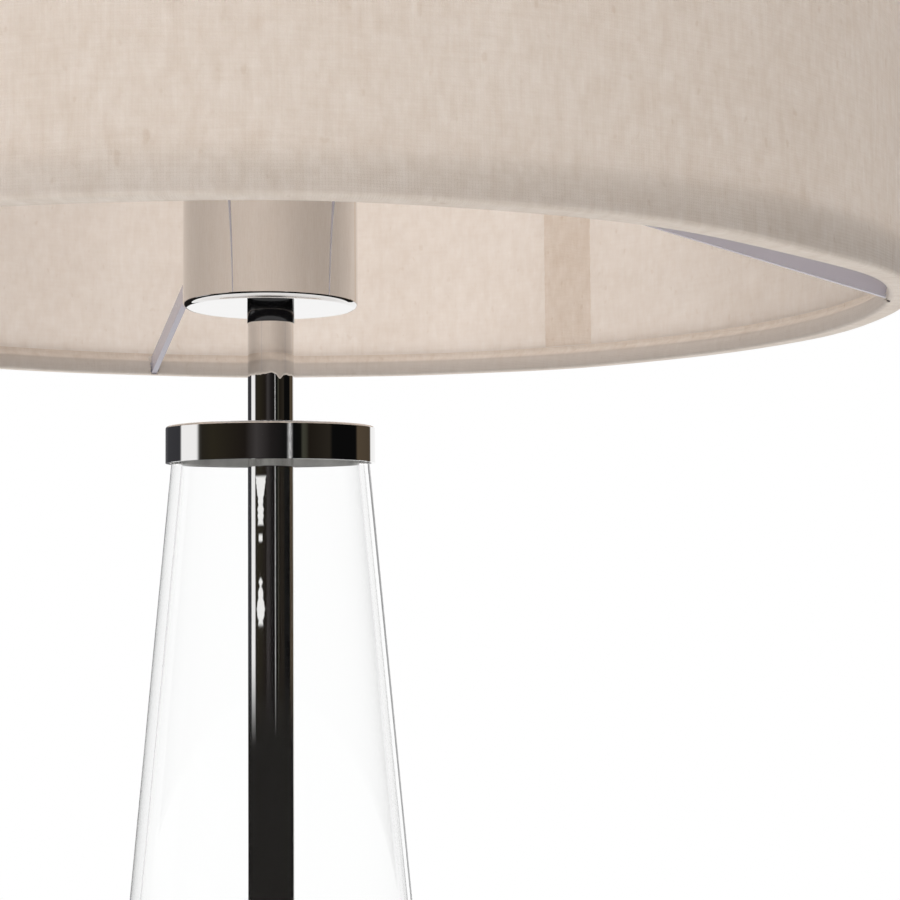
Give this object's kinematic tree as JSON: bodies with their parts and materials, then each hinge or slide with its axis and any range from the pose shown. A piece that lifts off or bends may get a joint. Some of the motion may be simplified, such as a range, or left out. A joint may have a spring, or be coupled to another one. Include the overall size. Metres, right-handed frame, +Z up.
{
  "type": "candlestick table lamp",
  "caption": "Table lamp with a round chrome base, a tapering clear glass body round a chrome stem, and a straight linen drum shade that lifts off and turns.",
  "frame": {"origin": "centre of the underside of the felt pad, on the surface that the lamp stands on", "axes": "+Z up along the stem, -Y towards the viewer, +Y towards the cord inlet, +X to the viewer's right"},
  "size_m": [0.325, 0.325, 0.5],
  "materials": {
    "felt": "matt wool felt",
    "zinc_steel": "zinc plated",
    "cast_iron": "as cast, black lacquer",
    "chrome": "polished chrome plate",
    "black_rubber": "moulded",
    "grey_rubber": "moulded",
    "white_nylon": "moulded",
    "clear_glass": "clear, fire polished",
    "white_plastic": "moulded, glossy",
    "white_ceramic": "unglazed steatite",
    "brass": "bright, stamped",
    "lead_sheath": "extruded",
    "core_insulation": "extruded",
    "white_powder": "white powder coat",
    "lining": "translucent laminate",
    "linen": "natural slubby linen",
    "nickel": "nickel plated",
    "black_vitrite": "glassy",
    "bulb_glass": "clear",
    "filament": "phosphor coated"
  },
  "bodies": {
    "stand": {"felt_pad": "felt", "base_plate": "zinc_steel", "base_plate_screws": "zinc_steel", "base_weight": "cast_iron", "base_shell": "chrome", "cord_grommet": "black_rubber", "terminal_block": "white_nylon", "terminal_block_screws": "zinc_steel", "foot_gasket": "black_rubber", "glass_body": "clear_glass", "cap_gasket": "grey_rubber", "glass_cap": "chrome", "lower_stem_tube": "chrome", "upper_stem_tube": "chrome", "tie_rod": "zinc_steel", "base_washer": "zinc_steel", "base_nut": "zinc_steel", "cup_washer": "zinc_steel", "cup_nut": "zinc_steel", "holder_cup": "chrome", "holder_shell": "white_plastic", "holder_skirt": "white_plastic", "support_ring": "white_plastic", "holder_insert": "white_ceramic", "screw_shell": "brass", "centre_contact": "brass", "contact_screws": "brass", "inner_lead": "lead_sheath", "lead_cores_upper": "core_insulation", "lead_cores_lower": "core_insulation"},
    "shade_ring": {"retaining_ring": "white_plastic"},
    "shade": {"fitter_ring": "white_powder", "spider_arm_1": "white_powder", "spider_arm_2": "white_powder", "spider_arm_3": "white_powder", "lower_ring_wire": "white_powder", "upper_ring_wire": "white_powder", "shade_lining": "lining", "shade_cover": "linen", "lower_hem": "linen", "upper_hem": "linen", "seam_strip": "linen"},
    "bulb": {"bulb_cap": "nickel", "bulb_insulator": "black_vitrite", "bulb_contact": "nickel", "bulb_glass": "bulb_glass", "bulb_stem": "bulb_glass", "bulb_frame": "nickel", "bulb_filaments": "filament"}
  },
  "joints": [
    {"name": "shade_lift", "type": "slide", "parent": "stand", "child": "shade_ring", "axis": [0, 0, 1], "range_m": [0, 0.12]},
    {"name": "shade_turn", "type": "hinge", "parent": "shade_ring", "child": "shade", "pos_m": [0, 0, 0.348], "axis": [0, 0, 1], "continuous": true},
    {"name": "bulb_out", "type": "slide", "parent": "stand", "child": "bulb", "axis": [0, 0, 1], "range_m": [0, 0.04]}
  ]
}
